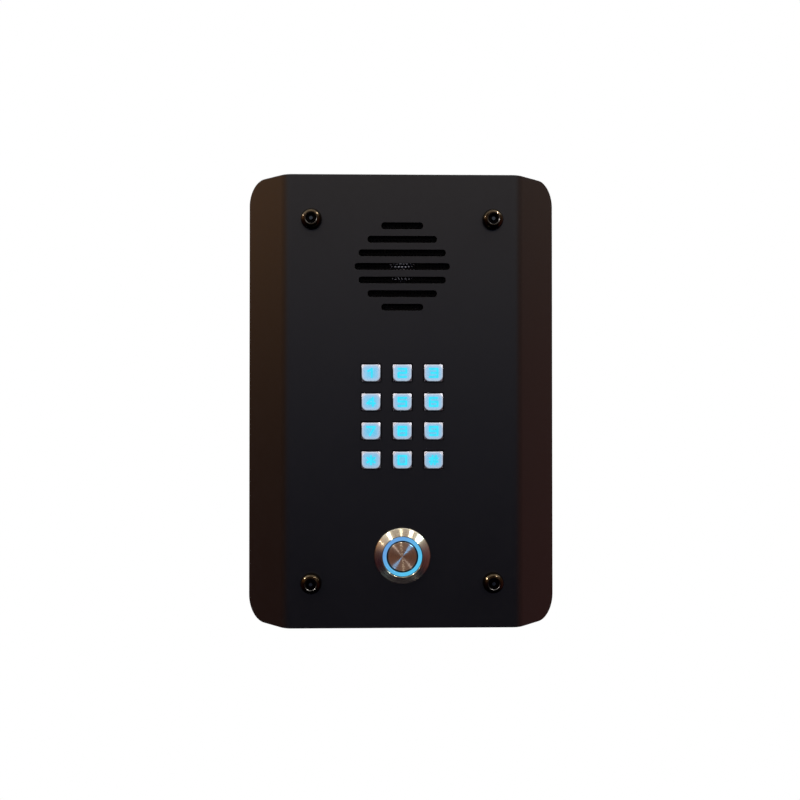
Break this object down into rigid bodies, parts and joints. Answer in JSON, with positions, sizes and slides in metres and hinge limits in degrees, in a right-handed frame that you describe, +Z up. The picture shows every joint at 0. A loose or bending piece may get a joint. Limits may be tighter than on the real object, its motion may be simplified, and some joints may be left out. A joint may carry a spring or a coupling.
{
  "type": "door intercom panel",
  "caption": "Surface-mounted door intercom: a folded black metal front plate with a slotted speaker, a backlit keypad and a ring-lit call button, on a moulded back box.",
  "frame": {"origin": "centre of the back box's rear face, where it rests on the wall", "axes": "+X to the right seen from the front, +Y back into the wall, +Z up"},
  "size_m": [0.1398, 0.052, 0.2],
  "materials": {
    "powder_coat": "satin black powder coat with a fine texture",
    "box_plastic": "moulded, finely spark-eroded black",
    "foam": "closed-cell black foam",
    "black_rubber": "matt black rubber",
    "black_steel": "black oxide, glossy",
    "guard_steel": "black perforated sheet",
    "brass": "turned brass",
    "key_metal": "satin plated zinc with polished corner facets",
    "stainless": "circularly turned",
    "ring_light": "translucent ring lit light blue",
    "spring_steel": "bright wire",
    "zinc": "zinc plated",
    "black_plastic": "moulded black",
    "silicone": "translucent white silicone",
    "circuit_board": "green solder mask",
    "cone_paper": "coated dark cone",
    "magnet_plate": "zinc plated over ferrite",
    "shield_can": "drawn tin-plated cover",
    "relay_case": "blue moulded case",
    "terminal_plastic": "green moulded housing",
    "capacitor_sleeve": "dark shrink sleeve, bare metal top",
    "ribbon_jacket": "grey ribbon cable",
    "lead_jacket": "black jacket"
  },
  "bodies": {
    "panel": {"front_plate": "powder_coat", "back_box": "box_plastic", "plate_gasket": "foam", "speaker_gasket": "foam", "cable_grommet": "black_rubber", "button_seal": "black_rubber", "microphone_boot": "black_rubber", "speaker_surround": "black_rubber", "cover_screw_top_left": "black_steel", "cover_screw_top_right": "black_steel", "cover_screw_bottom_left": "black_steel", "cover_screw_bottom_right": "black_steel", "speaker_guard": "guard_steel", "thread_insert_top_left": "brass", "thread_insert_top_right": "brass", "thread_insert_bottom_left": "brass", "thread_insert_bottom_right": "brass", "button_bezel": "stainless", "button_light_ring": "ring_light", "button_spring": "spring_steel", "button_nut": "zinc", "keypad_nut_top_left": "zinc", "keypad_nut_top_right": "zinc", "keypad_nut_bottom_left": "zinc", "keypad_nut_bottom_right": "zinc", "board_screw_top_left": "zinc", "board_screw_top_right": "zinc", "board_screw_bottom_left": "zinc", "board_screw_bottom_right": "zinc", "keypad_frame": "black_plastic", "speaker_frame": "black_plastic", "button_base": "black_plastic", "keypad_mat": "silicone", "keypad_board": "circuit_board", "control_board": "circuit_board", "speaker_magnet": "magnet_plate", "processor_module": "shield_can", "microphone_capsule": "shield_can", "lock_relay": "relay_case", "power_terminals": "terminal_plastic", "signal_terminals": "terminal_plastic", "filter_capacitor": "capacitor_sleeve", "keypad_ribbon": "ribbon_jacket", "speaker_lead": "lead_jacket", "button_lead": "lead_jacket", "microphone_lead": "lead_jacket"},
    "key_1": {"key_1": "key_metal"},
    "key_2": {"key_2": "key_metal"},
    "key_3": {"key_3": "key_metal"},
    "key_4": {"key_4": "key_metal"},
    "key_5": {"key_5": "key_metal"},
    "key_6": {"key_6": "key_metal"},
    "key_7": {"key_7": "key_metal"},
    "key_8": {"key_8": "key_metal"},
    "key_9": {"key_9": "key_metal"},
    "key_star": {"key_star": "key_metal"},
    "key_0": {"key_0": "key_metal"},
    "key_hash": {"key_hash": "key_metal"},
    "call_button": {"button_cap": "stainless"},
    "speaker_cone": {"speaker_cone": "cone_paper"}
  },
  "joints": [
    {"name": "key_1_press", "type": "slide", "parent": "panel", "child": "key_1", "axis": [0, 1, 0], "range_m": [0, 0.0012], "stiffness_N_per_m": 500, "springref_m": -0.002},
    {"name": "key_2_press", "type": "slide", "parent": "panel", "child": "key_2", "axis": [0, 1, 0], "range_m": [0, 0.0012], "stiffness_N_per_m": 500, "springref_m": -0.002},
    {"name": "key_3_press", "type": "slide", "parent": "panel", "child": "key_3", "axis": [0, 1, 0], "range_m": [0, 0.0012], "stiffness_N_per_m": 500, "springref_m": -0.002},
    {"name": "key_4_press", "type": "slide", "parent": "panel", "child": "key_4", "axis": [0, 1, 0], "range_m": [0, 0.0012], "stiffness_N_per_m": 500, "springref_m": -0.002},
    {"name": "key_5_press", "type": "slide", "parent": "panel", "child": "key_5", "axis": [0, 1, 0], "range_m": [0, 0.0012], "stiffness_N_per_m": 500, "springref_m": -0.002},
    {"name": "key_6_press", "type": "slide", "parent": "panel", "child": "key_6", "axis": [0, 1, 0], "range_m": [0, 0.0012], "stiffness_N_per_m": 500, "springref_m": -0.002},
    {"name": "key_7_press", "type": "slide", "parent": "panel", "child": "key_7", "axis": [0, 1, 0], "range_m": [0, 0.0012], "stiffness_N_per_m": 500, "springref_m": -0.002},
    {"name": "key_8_press", "type": "slide", "parent": "panel", "child": "key_8", "axis": [0, 1, 0], "range_m": [0, 0.0012], "stiffness_N_per_m": 500, "springref_m": -0.002},
    {"name": "key_9_press", "type": "slide", "parent": "panel", "child": "key_9", "axis": [0, 1, 0], "range_m": [0, 0.0012], "stiffness_N_per_m": 500, "springref_m": -0.002},
    {"name": "key_star_press", "type": "slide", "parent": "panel", "child": "key_star", "axis": [0, 1, 0], "range_m": [0, 0.0012], "stiffness_N_per_m": 500, "springref_m": -0.002},
    {"name": "key_0_press", "type": "slide", "parent": "panel", "child": "key_0", "axis": [0, 1, 0], "range_m": [0, 0.0012], "stiffness_N_per_m": 500, "springref_m": -0.002},
    {"name": "key_hash_press", "type": "slide", "parent": "panel", "child": "key_hash", "axis": [0, 1, 0], "range_m": [0, 0.0012], "stiffness_N_per_m": 500, "springref_m": -0.002},
    {"name": "call_button_press", "type": "slide", "parent": "panel", "child": "call_button", "axis": [0, 1, 0], "range_m": [0, 0.002], "stiffness_N_per_m": 800, "springref_m": -0.003, "deforming": ["button_spring"]},
    {"name": "speaker_cone_motion", "type": "slide", "parent": "panel", "child": "speaker_cone", "axis": [0, 1, 0], "range_m": [-0.0005, 0.0005], "stiffness_N_per_m": 2000}
  ]
}
